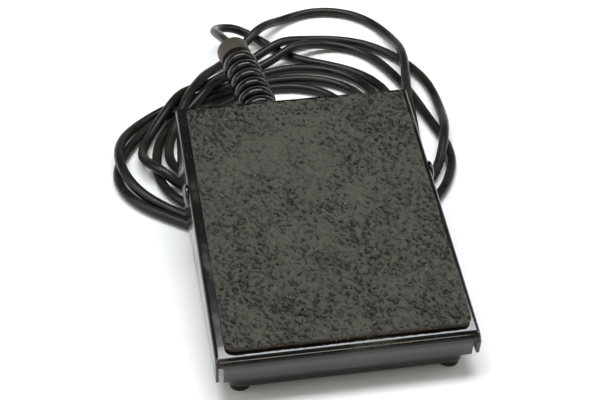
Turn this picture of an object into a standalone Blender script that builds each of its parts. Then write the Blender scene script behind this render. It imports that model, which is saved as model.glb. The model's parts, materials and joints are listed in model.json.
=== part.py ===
"""Foot pedal of a sewing machine: a tread plate that rocks on a cross pin over a steel base,
with a carbon speed regulator inside and a long cord lying in loose turns behind and under it.

Metres, +Z up. The pedal stands on z = 0, its low front end towards -Y, and the origin is the
middle of the pedal's footprint. The tread plate's pieces hang on an empty at the cross pin.
"""
import bpy
import bmesh
import numpy as np
from math import cos, sin, tan, pi, radians
from mathutils import Matrix, Vector

# tread plate
plateWidth = 0.105
plateLength = 0.1406
plateTilt = radians(10.6)
frontHeight = 0.0197          # top of the plate's front edge above the floor
sheet = 0.0012                # sheet steel of the plate and of the base
frontBend = 0.0042            # outer radius of the front bend
sideBend = 0.0019             # outer radius of the side bends
flangeClearance = 0.0088      # flange edges above the floor
gap = 0.0003                  # between neighbouring pieces
treadleTravel = radians(5)

# cross pin, measured from the plate's front edge and top face
pivotBack = 0.0937
pivotDepth = 0.0052
pinRadius = 0.0016

# mat
matLeft, matRight = -0.0482, 0.0496
matFront, matRear = 0.0052, 0.0032     # margins to the plate's front and rear edges
matThickness = 0.0020
glueThickness = 0.0005

# base pan, in its own tilted frame
baseHalf = 0.0470
baseLength = 0.1304
baseTilt = radians(2.8)
baseSetback = 0.0040
baseClearance = 0.0026
wallFront, wallPivot, wallRear = 0.0154, 0.0279, 0.0298   # wall heights

# feet: x, distance from the front edge, radius
footPlaces = (("front_left", -0.0423, 0.0092), ("front_right", 0.0423, 0.0092),
              ("rear_left", -0.0400, 0.1270), ("rear_right", 0.0400, 0.1270))
footRadius = 0.0042

# rubber stops at the front: from the middle, and height of their sloping tops at the pan's front edge
stopSide, stopHeight = 0.0300, 0.0159

# inside
springSide, springBack = 0.0390, 0.0270      # from the middle, and behind the pin along the plate
springWire, springRadius, springTurns = 0.0005, 0.0036, 5
plungerX, plungerBack = 0.0140, 0.0200
plungerRadius = 0.0025

# cord entry and strain relief
reliefX, reliefHeight = -0.0107, 0.0240
reliefLean = (0.0, radians(8.3))             # leaning left at the wall and at the far end
reliefLength = 0.0840                        # from the base's rear wall to the end of the collar
reliefRings = 6
ringPitch, firstRing = 0.0083, 0.0267

# cord
cordRadius = 0.0023
cordLayer = 0.0050                           # how much higher each layer of the cord lies
cordTubes = 6
tubeGap = 0.0006                             # where one length of the cord meets the next

frontY = -(plateLength * cos(plateTilt) + 0.0002) / 2


def atFront(x, back, z):
    """A point given by its distance behind the pedal's front edge."""
    return Vector((x, frontY + back, z))


pivot = atFront(0, pivotBack * cos(plateTilt) + pivotDepth * sin(plateTilt),
                frontHeight + pivotBack * sin(plateTilt) - pivotDepth * cos(plateTilt))
treadleFrame = Matrix.Translation(pivot) @ Matrix.Rotation(plateTilt, 4, "X")
baseFrame = (Matrix.Translation(atFront(0, baseSetback, baseClearance))
             @ Matrix.Rotation(baseTilt, 4, "X"))
rearWall = frontY + baseSetback + baseLength * cos(baseTilt)

# the cord's route: x and distance behind the front edge in mm, and the layer it lies on
cordRoute = (
    (-16.9, 218.7, 4.33), (-18.1, 226.1, 4.22), (-19.7, 233.7, 3.92), (-21.2, 241.2, 3.47),
    (-22, 248.6, 2.93), (-21, 255.9, 2.33), (-17.2, 262, 1.71), (-10.7, 265.2, 1.16), (-3.5, 263.8, 0.58),
    (2.6, 259.1, 0.2), (7.5, 253, 0.03), (12.4, 246.6, 0), (18, 240.9, 0), (24.4, 236.2, 0),
    (31.3, 232.3, 0), (38.2, 228.2, 0), (44.7, 223.5, 0), (50.3, 217.8, 0), (54.7, 211.2, 0),
    (57.8, 203.8, 0), (59.4, 196, 0), (59.6, 188, 0), (58.1, 176.2, 0), (54.5, 164.8, 0), (48.9, 154.2, 0),
    (41.2, 145, 0), (31.5, 138.1, 0), (20.4, 133.8, 0), (8.6, 131.6, 0), (-3.3, 130.9, 0), (-15.2, 131, 0),
    (-27.2, 131.7, 0), (-38.9, 133.6, 0), (-50, 137.9, 0), (-58.8, 144.7, 0.93), (-65.5, 154.5, 0.8),
    (-67.1, 166, 0.3), (-63.6, 177.3, 0.24), (-57.6, 187.5, 0.64), (-51.2, 197.4, 1.06),
    (-44.7, 207.6, 1.04), (-37, 216.3, 0.5), (-27.7, 223.6, 0.04), (-17.9, 230.6, 0.02),
    (-7.9, 237.2, 0.25), (2.3, 243.3, 0.65), (12.9, 248.9, 1), (24, 252.9, 0.57), (35.7, 254.6, 0.17),
    (47.5, 252.7, 0.01), (57.9, 247, 0), (66.3, 238.5, 0), (73, 228.6, 0), (78, 217.7, 0), (81, 206.1, 0),
    (82, 194.2, 0), (81.6, 182.3, 0.15), (80.3, 170.5, 0.55), (78, 159, 0.96), (74.6, 147.6, 0.81),
    (70.1, 136.8, 0.33), (64.1, 126.6, 0.04), (56.6, 117.4, 0), (47.6, 109.6, 0), (37.3, 103.5, 0),
    (26.1, 99.3, 0), (14.5, 96.7, 0), (2.6, 95.4, 0), (-9.3, 95.5, 0), (-21, 97.6, 0), (-32, 102.1, 0),
    (-42, 108.6, 0), (-51.3, 116, 0), (-60.4, 123.9, 0.07), (-68.6, 132.4, 0.31), (-74.8, 142.4, 0.67),
    (-78, 153.8, 0.93), (-78.1, 165.8, 0.91), (-75.1, 177.2, 0.58), (-69.4, 187.5, 0.2),
    (-61.4, 196.4, 0.02), (-51.8, 203.5, 0), (-41.1, 209.1, 0), (-30.2, 214, 0), (-19.1, 218.7, 0),
    (-8.2, 223.7, 0), (2.9, 228.1, 0), (14.7, 230.2, 0), (26.5, 228.5, 0), (37.2, 223.2, 0), (45.8, 215, 0),
    (51, 204.2, 0), (52.5, 192.4, 0), (51, 180.5, 0), (47.1, 169.2, 0), (40.7, 159, 0), (32.2, 150.6, 0),
    (21.8, 144.7, 0), (10.3, 141.1, 0), (-1.5, 139.3, 0), (-13.5, 138.6, 0), (-25.5, 138.9, 0),
    (-37.3, 141, 0), (-47.6, 146.9, 0), (-53.8, 156.9, 0), (-54.3, 168.8, 0.09), (-51.1, 180.2, 0.43),
    (-46.6, 191, 1), (-41.6, 201.7, 1.43), (-36.1, 212.4, 1.44), (-30.4, 222.9, 1.1), (-24.1, 232.7, 0.51),
    (-16.6, 241.8, 0.24), (-8.2, 250.2, 0.59), (0.2, 258.3, 1.29), (7.8, 267.5, 1.01), (15.7, 276.1, 0.33),
    (25.6, 282.5, 0.03), (37.2, 285.1, 0), (48.9, 283, 0), (58.9, 276.6, 0), (66.1, 267.1, 0),
    (70.5, 256, 0.1), (72.6, 244.4, 0.46), (73, 232.6, 0.92), (72, 220.7, 1.11), (70.1, 208.9, 1.07),
    (68.3, 197.2, 0.81), (67.1, 185.4, 0.37), (66, 173.6, 0.08), (64.4, 161.7, 0), (61.8, 150, 0),
    (57.7, 138.8, 0), (51.9, 128.3, 0), (44.1, 119.3, 0), (34.4, 112.2, 0), (23.4, 107.5, 0),
    (11.7, 105, 0), (-0.2, 104.3, 0), (-12.2, 105.3, 0), (-23.9, 108, 0), (-35, 112.6, 0),
    (-44.9, 119.3, 0), (-53.1, 128, 0), (-58.9, 138.5, 0), (-61.4, 150.2, 0), (-60.8, 162.1, 0),
    (-58.5, 173.9, 0), (-53.7, 184.8, 0), (-46.2, 194, 0.14), (-37.7, 202, 0.73), (-29.9, 210.9, 1.09),
    (-22.2, 219.8, 0.85), (-12.9, 226.9, 0.35), (-2.3, 232.2, 0.22), (8.2, 237.4, 0.63),
    (18.5, 243.2, 1.04), (29.3, 247.8, 0.56), (40.9, 248.2, 0.14), (51.4, 242.8, 0), (58.8, 233.5, 0),
    (63.7, 222.6, 0), (67.4, 211.2, 0), (70.3, 199.6, 0), (72.4, 187.9, 0), (74.2, 176.1, 0),
    (76.2, 164.3, 0), (77.6, 152.4, 0), (76.9, 140.5, 0), (73.5, 129.1, 0), (67.9, 118.5, 0),
    (60.4, 109.2, 0), (51.3, 101.5, 0), (40.8, 95.6, 0), (29.6, 91.6, 0), (17.8, 89.4, 0), (5.8, 88.6, 0),
    (-6.1, 89.2, 0), (-17.9, 91.3, 0), (-29.2, 95.2, 0), (-39.7, 101, 0), (-49.4, 108.1, 0),
    (-58.6, 115.7, 0), (-67.5, 123.7, 0), (-74.9, 133, 0), (-79.3, 144.1, 0), (-79.4, 155.9, 0),
    (-75.7, 167.2, 0), (-70, 177.7, 0), (-63, 187.4, 0), (-54.4, 195.7, 0), (-44.4, 202.2, 0),
    (-33.7, 207.3, 0), (-22.6, 212, 0), (-11.5, 216.3, 0), (0.1, 219.4, 0), (12, 220.3, 0),
    (23.8, 218.4, 0), (34.5, 213.2, 0), (42.6, 204.5, 0), (46.5, 193.3, 0), (46, 181.4, 0), (42, 170.1, 0),
    (35.3, 160.3, 0), (26.1, 152.7, 0), (15.3, 147.6, 0), (3.6, 144.8, 0), (-8.4, 144, 0),
    (-20.3, 145.1, 0), (-31.6, 149.1, 0), (-40.7, 156.7, 0), (-45.5, 167.6, 0), (-44.8, 179.4, 0),
    (-39.6, 190.1, 0), (-31.4, 198.8, 0), (-21.6, 205.7, 0), (-10.7, 210.7, 0), (0.9, 213.5, 0),
    (12.9, 213, 0), (23.8, 208.3, 0), (31.9, 199.5, 0), (35.6, 188.2, 0), (34.4, 176.4, 0.09),
    (28.5, 166.2, 0.42), (10.4, 160, 0.9),
)


def material(name, colour, roughness, metallic=0.0):
    """A plain Principled material."""
    mat = bpy.data.materials.get(name)
    if mat is None:
        mat = bpy.data.materials.new(name)
        mat.use_nodes = True
        shader = mat.node_tree.nodes["Principled BSDF"]
        shader.inputs["Base Color"].default_value = (*colour, 1)
        shader.inputs["Roughness"].default_value = roughness
        shader.inputs["Metallic"].default_value = metallic
    return mat


def painted():
    return material("black_paint", (0.02, 0.02, 0.02), 0.2, 0.1)


def steel():
    return material("zinc_steel", (0.55, 0.56, 0.57), 0.35, 1.0)


def brass():
    return material("brass", (0.72, 0.55, 0.25), 0.35, 1.0)


def rubber():
    return material("rubber", (0.03, 0.03, 0.03), 0.7)


def cordVinyl():
    return material("cord_vinyl", (0.025, 0.025, 0.025), 0.4)


def ceramic():
    return material("ceramic", (0.72, 0.70, 0.64), 0.5)


def phenolic():
    return material("phenolic", (0.16, 0.08, 0.04), 0.4)


def nylon():
    return material("nylon", (0.75, 0.74, 0.70), 0.5)


def addObject(name, bm, mat, parent=None, matrix=None):
    """Turn a bmesh into a named object, under a parent or moved by a matrix."""
    if matrix is not None:
        bmesh.ops.transform(bm, matrix=matrix, verts=bm.verts)
    bmesh.ops.recalc_face_normals(bm, faces=bm.faces)
    if bm.calc_volume(signed=True) < 0:
        bmesh.ops.reverse_faces(bm, faces=bm.faces)
    mesh = bpy.data.meshes.new(name)
    bm.to_mesh(mesh)
    bm.free()
    mesh.materials.append(mat)
    mesh.shade_smooth()
    mesh.set_sharp_from_angle(angle=radians(35))
    obj = bpy.data.objects.new(name, mesh)
    bpy.context.scene.collection.objects.link(obj)
    if parent is not None:
        obj.parent = parent
    return obj


def block(low, high):
    """A box between two corners."""
    bm = bmesh.new()
    size = [high[i] - low[i] for i in range(3)]
    middle = [(high[i] + low[i]) / 2 for i in range(3)]
    bmesh.ops.create_cube(bm, size=1, matrix=Matrix.Translation(middle) @ Matrix.Diagonal((*size, 1)))
    return bm


def roundEdges(bm, test, radius, segments=3):
    """Round the edges that a test picks by their two end points."""
    edges = [e for e in bm.edges if test(e.verts[0].co, e.verts[1].co)]
    bmesh.ops.bevel(bm, geom=edges, offset=radius, segments=segments, profile=0.5, affect="EDGES")
    return bm


def prism(outline, start, end, axis="X"):
    """An outline of (u, v) points, pushed from start to end along an axis."""
    places = {"X": lambda u, v, w: (w, u, v), "Y": lambda u, v, w: (u, w, v), "Z": lambda u, v, w: (u, v, w)}
    bm = bmesh.new()
    face = bm.faces.new([bm.verts.new(places[axis](u, v, start)) for u, v in outline])
    pushed = bmesh.ops.extrude_face_region(bm, geom=[face])["geom"]
    shift = Vector(places[axis](0, 0, end - start))
    bmesh.ops.translate(bm, vec=shift, verts=[g for g in pushed if isinstance(g, bmesh.types.BMVert)])
    return bm


def turned(profile, steps=20, closed=False):
    """A profile of (radius, height) points, spun about Z; a closed one leaves a bore."""
    bm = bmesh.new()
    verts = [bm.verts.new((r, 0, z)) for r, z in profile]
    edges = [bm.edges.new(pair) for pair in zip(verts, verts[1:])]
    if closed:
        edges.append(bm.edges.new((verts[-1], verts[0])))
    bmesh.ops.spin(bm, geom=verts + edges, cent=(0, 0, 0), axis=(0, 0, 1), angle=2 * pi, steps=steps,
                   use_merge=True)
    bmesh.ops.remove_doubles(bm, verts=bm.verts, dist=1e-6)
    return bm


def arc(middleU, middleV, radius, first, last, steps):
    """Points on an arc, the angles in degrees."""
    return [(middleU + radius * cos(radians(first + (last - first) * i / steps)),
             middleV + radius * sin(radians(first + (last - first) * i / steps))) for i in range(steps + 1)]


def sliced(bm, point, normal):
    """Cut off what lies beyond a plane and close the cut."""
    cut = bmesh.ops.bisect_plane(bm, geom=bm.verts[:] + bm.edges[:] + bm.faces[:], plane_co=point,
                                 plane_no=normal, clear_outer=True, dist=1e-7)
    edges = [g for g in cut["geom_cut"] if isinstance(g, bmesh.types.BMEdge)]
    bmesh.ops.holes_fill(bm, edges=edges)
    return bm


def combine(target, tool, operation):
    """Cut or join with a hidden tool object."""
    tool.hide_render = True
    tool.display_type = "WIRE"
    modifier = target.modifiers.new(operation.lower(), "BOOLEAN")
    modifier.operation = operation
    modifier.object = tool
    modifier.solver = "EXACT"
    return target


def crossways(x, y, z):
    """Matrix that lays a shape's Z axis along X."""
    return Matrix.Translation((x, y, z)) @ Matrix.Rotation(pi / 2, 4, "Y")


def platePoint(back, up):
    """A point of the plate's side view, from its front edge and top face, about the pin."""
    return back - pivotBack, up + pivotDepth


def floorLine(height, back):
    """The plate frame's height of a level line above the floor."""
    return ((height - pivot.z) - (back - pivotBack) * sin(plateTilt)) / cos(plateTilt)


def makeFootPlate(treadle):
    """The folded sheet: top and front flange, then the two side flanges joined on."""
    half = plateWidth / 2
    front, top = platePoint(0, 0)
    rear, _ = platePoint(plateLength, 0)
    foot = floorLine(flangeClearance, 0.001)
    inner = frontBend - sheet
    outline = ([(rear, top)] + arc(front + frontBend, top - frontBend, frontBend, 90, 180, 6)
               + [(front, foot), (front + sheet, foot)]
               + arc(front + frontBend, top - frontBend, inner, 180, 90, 6) + [(rear, top - sheet)])
    plate = addObject("foot_plate", prism(outline, -half + sideBend, half - sideBend), painted(), treadle)
    for side in (-1, 1):
        bend = half - sideBend
        section = ([(bend - 0.0004, top)] + arc(bend, top - sideBend, sideBend, 90, 0, 4)
                   + [(half, top - 0.05), (half - sheet, top - 0.05)]
                   + arc(bend, top - sideBend, sideBend - sheet, 0, 90, 4) + [(bend - 0.0004, top - sheet)])
        bm = prism([(side * u, v) for u, v in section], front + 0.0004, rear, "Y")
        level = Vector((0, -sin(plateTilt), -cos(plateTilt)))
        sliced(bm, (0, 0, floorLine(flangeClearance, pivotBack)), level)
        sliced(bm, (0, front + 0.0022, top), (0, -0.7, 0.7))
        sliced(bm, (0, rear, top - 0.004), (0, cos(plateTilt), -sin(plateTilt)))
        combine(plate, addObject("side_flange_tool", bm, painted(), treadle), "UNION")
        slit = sorted((side * (half - 0.0031), side * (half - sheet - 0.00002)))
        bm = block((slit[0], front - 0.001, foot - 0.002), (slit[1], front + 0.0024, top - 0.0021))
        combine(plate, addObject("slit_tool", bm, painted(), treadle), "DIFFERENCE")
        hole = turned([(0, -0.004), (pinRadius + gap, -0.004), (pinRadius + gap, 0.004), (0, 0.004)], 20)
        combine(plate, addObject("pin_hole_tool", hole, painted(), treadle, crossways(side * half, 0, 0)),
                "DIFFERENCE")


def matBlock(low, high, thin):
    """A slab of the mat's outline: round front corners, nearly square rear corners."""
    front, top = platePoint(matFront, low)
    rear, _ = platePoint(plateLength - matRear, 0)
    bm = block((matLeft + thin, front + thin, top), (matRight - thin, rear - thin, top + high - low))
    upright = lambda a, b: abs(a.z - b.z) > 1e-4
    roundEdges(bm, lambda a, b: upright(a, b) and a.y < 0, 0.0036, 5)
    roundEdges(bm, lambda a, b: upright(a, b) and a.y > 0, 0.0012, 2)
    return bm


def makeMat(treadle):
    """The rubber mat on its layer of adhesive."""
    glueTop = gap + glueThickness
    addObject("mat_adhesive", matBlock(gap, glueTop, 0.0002), material("adhesive", (0.30, 0.2, 0.1), 0.8),
              treadle)
    bm = matBlock(glueTop + gap, glueTop + gap + matThickness, 0)
    high = platePoint(0, glueTop + gap + matThickness)[1]
    roundEdges(bm, lambda a, b: min(a.z, b.z) > high - 1e-5, 0.0006, 2)
    addObject("tread_mat", bm, material("mat_rubber", (0.10, 0.10, 0.085), 0.55), treadle)


def makePin(treadle):
    """The cross pin with its two domed heads, and the pad that works the regulator."""
    seat = plateWidth / 2 + gap
    head = [(0.0048, seat), (0.0047, seat + 0.0005), (0.0040, seat + 0.0011), (0.0027, seat + 0.0016),
            (0.0012, seat + 0.0018), (0, seat + 0.0018)]
    profile = [(r, -z) for r, z in reversed(head)] + [(pinRadius, -seat), (pinRadius, seat)] + head
    addObject("pivot_pin", turned(profile, 20), steel(), treadle, crossways(0, 0, 0))
    under = pivotDepth - sheet - gap
    pad = turned([(0, under - 0.0015), (0.0026, under - 0.0015), (0.0030, under - 0.0011), (0.0030, under),
                  (0, under)], 20)
    addObject("pressure_pad", pad, steel(), treadle, Matrix.Translation((plungerX, plungerBack, 0)))


def baseOutline(inset):
    """The base pan's side view in its own frame, the rear wall upright on the floor."""
    low = inset
    high = 0.02 if inset else 0.0
    rear = baseLength - inset
    pivotAt = (pivotBack * cos(plateTilt) + pivotDepth * sin(plateTilt) - baseSetback) / cos(baseTilt)
    return [(inset, low), (rear, low), (rear + (wallRear + high) * tan(baseTilt), wallRear + high),
            (pivotAt, wallPivot + high), (inset, wallFront + high)]


def makeBase():
    """The pressed pan with its pin holes, feet holes and cord hole."""
    flat = lambda a, b: abs(a.x - b.x) < 1e-6
    shells = []
    for inset, corner, low in ((0, 0.004, 0.0016), (sheet, 0.0028, 0.0005)):
        bm = prism(baseOutline(inset), -baseHalf + inset, baseHalf - inset)
        upright = lambda a, b: flat(a, b) and abs(a.z - b.z) > abs(a.y - b.y)
        roundEdges(bm, upright, corner, 4)
        level = min(v.co.z for v in bm.verts)
        roundEdges(bm, lambda a, b: max(a.z, b.z) < level + 1e-5, low, 2)
        shells.append(bm)
    pan = addObject("base_pan", shells[0], painted(), None, baseFrame)
    combine(pan, addObject("pan_hollow_tool", shells[1], painted(), None, baseFrame), "DIFFERENCE")
    hole = turned([(0, -0.06), (pinRadius + gap, -0.06), (pinRadius + gap, 0.06), (0, 0.06)], 20)
    combine(pan, addObject("pin_bore_tool", hole, painted(), None, crossways(0, pivot.y, pivot.z)),
            "DIFFERENCE")
    hole = turned([(0, -0.006), (0.0058, -0.006), (0.0058, 0.006), (0, 0.006)], 20)
    combine(pan, addObject("cord_hole_tool", hole, painted(), None, reliefFrame(0)), "DIFFERENCE")
    for name, x, back in footPlaces:
        hole = turned([(0, -0.004), (0.0019, -0.004), (0.0019, 0.004), (0, 0.004)], 16)
        place = baseFrame @ Matrix.Translation((x, (back - baseSetback) / cos(baseTilt), 0))
        combine(pan, addObject("foot_hole_tool", hole, painted(), None, place), "DIFFERENCE")


def makeFeet():
    """Rubber feet pushed into the pan, each cut level with the floor."""
    for name, x, back in footPlaces:
        profile = [(0, -0.02), (footRadius, -0.02), (footRadius, -0.0009), (footRadius - 0.0006, -gap),
                   (0.0016, -gap), (0.0016, sheet + gap), (0.0024, sheet + gap), (0.0020, sheet + 0.0016),
                   (0, sheet + 0.0020)]
        place = baseFrame @ Matrix.Translation((x, (back - baseSetback) / cos(baseTilt), 0))
        bm = turned(profile, 20)
        bmesh.ops.transform(bm, matrix=place, verts=bm.verts)
        sliced(bm, (0, 0, 0), (0, 0, -1))
        addObject("foot_" + name, bm, rubber())


def makePinFittings():
    """Spacers between the base and the flanges, and clips on the pin inside the base."""
    bore = pinRadius + gap
    for name, side in (("left", -1), ("right", 1)):
        low, high = baseHalf + gap, plateWidth / 2 - sheet - gap
        ring = turned([(bore, low), (0.0033, low), (0.0033, high), (bore, high)], 20, True)
        addObject("pivot_spacer_" + name, ring, nylon(), None,
                  crossways(0, pivot.y, pivot.z) @ Matrix.Diagonal((1, 1, side, 1)))
        high = baseHalf - sheet - gap
        ring = turned([(bore, high - 0.0008), (0.0032, high - 0.0008), (0.0032, high), (bore, high)], 20, True)
        clip = addObject("pin_clip_" + name, ring, steel(), None,
                         crossways(0, pivot.y, pivot.z) @ Matrix.Diagonal((1, 1, side, 1)))
        slot = block((side * high - 0.002, pivot.y - 0.0011, pivot.z - 0.006),
                     (side * high + 0.002, pivot.y + 0.0011, pivot.z))
        combine(clip, addObject("clip_slot_tool", slot, steel()), "DIFFERENCE")


def makeStopPads():
    """Rubber pads on posts at the front, which the plate rests on."""
    floor = sheet + gap
    for name, side in (("left", -1), ("right", 1)):
        bm = block((side * stopSide - 0.004, 0.006, floor), (side * stopSide + 0.004, 0.013, stopHeight))
        roundEdges(bm, lambda a, b: abs(a.z - b.z) > 1e-4, 0.0012, 2)
        for vert in bm.verts:
            if vert.co.z > stopHeight / 2:
                vert.co.z = stopHeight + vert.co.y * tan(plateTilt - baseTilt)
        addObject("stop_pad_" + name, bm, rubber(), None, baseFrame)


def makeLiner():
    """A sheet of insulating board under the terminals."""
    bm = block((-0.040, 0.018, sheet + gap), (0.040, 0.084, sheet + gap + 0.0005))
    roundEdges(bm, lambda a, b: abs(a.z - b.z) > 1e-4, 0.003, 2)
    addObject("insulating_liner", bm, material("press_board", (0.45, 0.33, 0.2), 0.8), None, baseFrame)


def contactPoint(back, up):
    """Where a point of the plate, measured about the pin, stands at rest."""
    return treadleFrame @ Vector((0, back, up))


def makeSprings():
    """Two return springs, each on a seat in the base and under a domed cap."""
    top = contactPoint(springBack, pivotDepth - sheet)
    floor = baseFrame @ Vector((0, (top.y - frontY - baseSetback) / cos(baseTilt), sheet))
    seatTop = floor.z + 0.0021
    capLow = top.z - 0.0046
    for name, side in (("left", -1), ("right", 1)):
        spot = Matrix.Translation((side * springSide, top.y, 0))
        seat = turned([(0, floor.z + 0.0006), (0.0050, floor.z + 0.0006), (0.0050, seatTop),
                       (0.0024, seatTop), (0.0024, seatTop + 0.004), (0.0018, seatTop + 0.005),
                       (0, seatTop + 0.005)], 20)
        addObject("spring_seat_" + name, seat, steel(), None, spot)
        cap = turned([(0, capLow - 0.003), (0.0020, capLow - 0.003), (0.0024, capLow - 0.002),
                      (0.0024, capLow), (0.0046, capLow), (0.0046, capLow + 0.0020),
                      (0.0030, top.z - 0.0013), (0.0012, top.z - 0.00065), (0, top.z - 0.0006)], 20)
        addObject("spring_cap_" + name, cap, nylon(), None, spot)
        low, high = seatTop + gap + springWire, capLow - gap - springWire
        turnPoints = 10 * springTurns
        points = [(side * springSide + springRadius * cos(2 * pi * i / 10),
                   top.y + springRadius * sin(2 * pi * i / 10), low + (high - low) * i / turnPoints)
                  for i in range(turnPoints + 1)]
        addTube("return_spring_" + name, points, springWire, steel(), 1)


def makeRegulator():
    """The carbon regulator: a block with two pillars, a bracket over it and a plunger."""
    pad = contactPoint(plungerBack, pivotDepth - sheet - gap - 0.0015)
    middle = (pad.y - frontY - baseSetback) / cos(baseTilt)
    floor = sheet + gap
    blockTop = 0.0155
    body = addObject("regulator_block", roundEdges(
        block((plungerX - 0.009, middle - 0.010, floor), (plungerX + 0.009, middle + 0.010, blockTop)),
        lambda a, b: True, 0.0008, 2), ceramic(), None, baseFrame)
    for name, shift in (("left", -0.0048), ("right", 0.0048)):
        spot = baseFrame @ Matrix.Translation((plungerX + shift, middle, 0))
        bore = turned([(0, 0.0035), (0.0027, 0.0035), (0.0027, 0.02), (0, 0.02)], 20)
        combine(body, addObject("pillar_bore_tool", bore, ceramic(), None, spot), "DIFFERENCE")
        grooves = [(0, 0.0038)]
        for i in range(5):
            low = 0.0038 + i * 0.0026
            grooves += [(0.0023, low), (0.0023, low + 0.0021), (0.0021, low + 0.0023), (0.0021, low + 0.0026)]
        grooves[-2:] = [(0, grooves[-3][1])]
        addObject("carbon_pillar_" + name, turned(grooves, 12), material("carbon", (0.04, 0.04, 0.045), 0.5),
                  None, spot)
    pillarTop = (baseFrame @ Vector((0, middle, 0.0165))).z
    barLow = pillarTop + 0.0021
    stem = turned([(0, barLow + 0.001), (plungerRadius, barLow + 0.001), (plungerRadius, pad.z - 0.0010),
                   (0.0016, pad.z - 0.0005), (0, pad.z - 0.0004)], 20)
    plunger = addObject("plunger", stem, nylon(), None, Matrix.Translation((plungerX, pad.y, 0)))
    bar = roundEdges(block((plungerX - 0.0075, pad.y - 0.003, barLow), (plungerX + 0.0075, pad.y + 0.003,
                                                                        barLow + 0.002)),
                     lambda a, b: abs(a.z - b.z) > 1e-4, 0.001, 2)
    combine(plunger, addObject("plunger_bar_tool", bar, nylon()), "UNION")
    # the bracket is a bent strip with two feet
    reach, leg, high = 0.0165, 0.0100, 0.0236
    outline = [(-reach, floor), (-leg, floor), (-leg, high), (leg, high), (leg, floor), (reach, floor),
               (reach, floor + sheet), (leg + sheet, floor + sheet), (leg + sheet, high + sheet),
               (-leg - sheet, high + sheet), (-leg - sheet, floor + sheet), (-reach, floor + sheet)]
    bracket = addObject("regulator_bracket", prism([(plungerX + u, v) for u, v in outline], middle - 0.006,
                                                   middle + 0.006, "Y"), steel(), None, baseFrame)
    bore = turned([(0, -0.01), (plungerRadius + 0.0006, -0.01), (plungerRadius + 0.0006, 0.01), (0, 0.01)], 20)
    place = Matrix.Translation((plungerX, pad.y, (baseFrame @ Vector((0, middle, high))).z))
    combine(bracket, addObject("plunger_bore_tool", bore, steel(), None, place), "DIFFERENCE")
    for name, side in (("left", -1), ("right", 1)):
        makeScrew("bracket_screw_" + name, baseFrame @ Matrix.Translation(
            (plungerX + side * 0.0140, middle, floor + sheet + gap)), 0.0021)


def makeScrew(name, place, radius):
    """A cheese-head screw standing on a surface, with a slot across its head."""
    height = radius * 0.75
    profile = [(0, 0), (radius, 0), (radius, height * 0.75), (radius * 0.8, height), (0, height)]
    head = addObject(name, turned(profile, 16), steel(), None, place)
    slot = block((-radius * 1.2, -radius * 0.16, height * 0.5), (radius * 1.2, radius * 0.16, height * 2))
    combine(head, addObject("slot_tool", slot, steel(), None, place), "DIFFERENCE")


def makeTerminals():
    """A phenolic strip with three screws, a wire-wound resistor and a capacitor."""
    floor = sheet + gap + 0.0005 + gap
    strip = roundEdges(block((-0.026, 0.062, floor), (0.026, 0.072, floor + 0.007)), lambda a, b: True,
                       0.0008, 2)
    addObject("terminal_strip", strip, phenolic(), None, baseFrame)
    for name, x in (("left", -0.018), ("middle", 0.0), ("right", 0.018)):
        makeScrew("terminal_screw_" + name, baseFrame @ Matrix.Translation((x, 0.067, floor + 0.007 + gap)),
                  0.0028)
    # end bands and winding grooves along the resistor
    profile = [(0, -0.026), (0.0042, -0.026), (0.0046, -0.0256), (0.0046, -0.0215), (0.0040, -0.0212)]
    for i in range(9):
        z = -0.0200 + i * 0.0046
        profile += [(0.0041, z), (0.0044, z + 0.0012), (0.0044, z + 0.0026), (0.0041, z + 0.0038)]
    profile += [(0.0040, 0.0222), (0.0046, 0.0225), (0.0046, 0.0256), (0.0042, 0.026), (0, 0.026)]
    addObject("series_resistor", turned(profile, 14), ceramic(), None,
              baseFrame @ crossways(0, 0.047, floor + 0.0048))
    cap = [(0, -0.012), (0.0038, -0.012), (0.0042, -0.0115), (0.0042, 0.0115), (0.0038, 0.012), (0, 0.012)]
    addObject("suppressor_capacitor", turned(cap, 20), material("wax_paper", (0.5, 0.36, 0.16), 0.5), None,
              baseFrame @ crossways(0, 0.030, floor + 0.0044))


def makeWires():
    """The cord's tail inside the base and the two leads to the terminals."""
    tailEnd = rearWall - 0.0150
    tail = [reliefPoint(0.0100), reliefPoint(0), Vector((reliefX, tailEnd, reliefHeight))]
    addTube("cord_tail", [tuple(p) for p in tail], cordRadius, cordVinyl(), 2)
    for name, side in (("left", -1), ("right", 1)):
        start = Vector((reliefX + side * 0.0011, tailEnd - gap - 0.0002, reliefHeight))
        end = baseFrame @ Vector((-0.009 + side * 0.0105, 0.0728, 0.0060))
        points = [start, start + Vector((side * 0.0005, -0.006, -0.002)),
                  Vector((-0.008 + side * 0.0030, pivot.y + 0.008, 0.0200)),
                  Vector((-0.009 + side * 0.0060, pivot.y - 0.004, 0.0150)),
                  end + Vector((0, 0.006, 0.0012)), end]
        addTube("lead_wire_" + name, smoothLine(points, 0.003), 0.0009,
                material("wire_" + name, (0.5, 0.08, 0.06) if side < 0 else (0.05, 0.12, 0.4), 0.5), 1)


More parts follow.
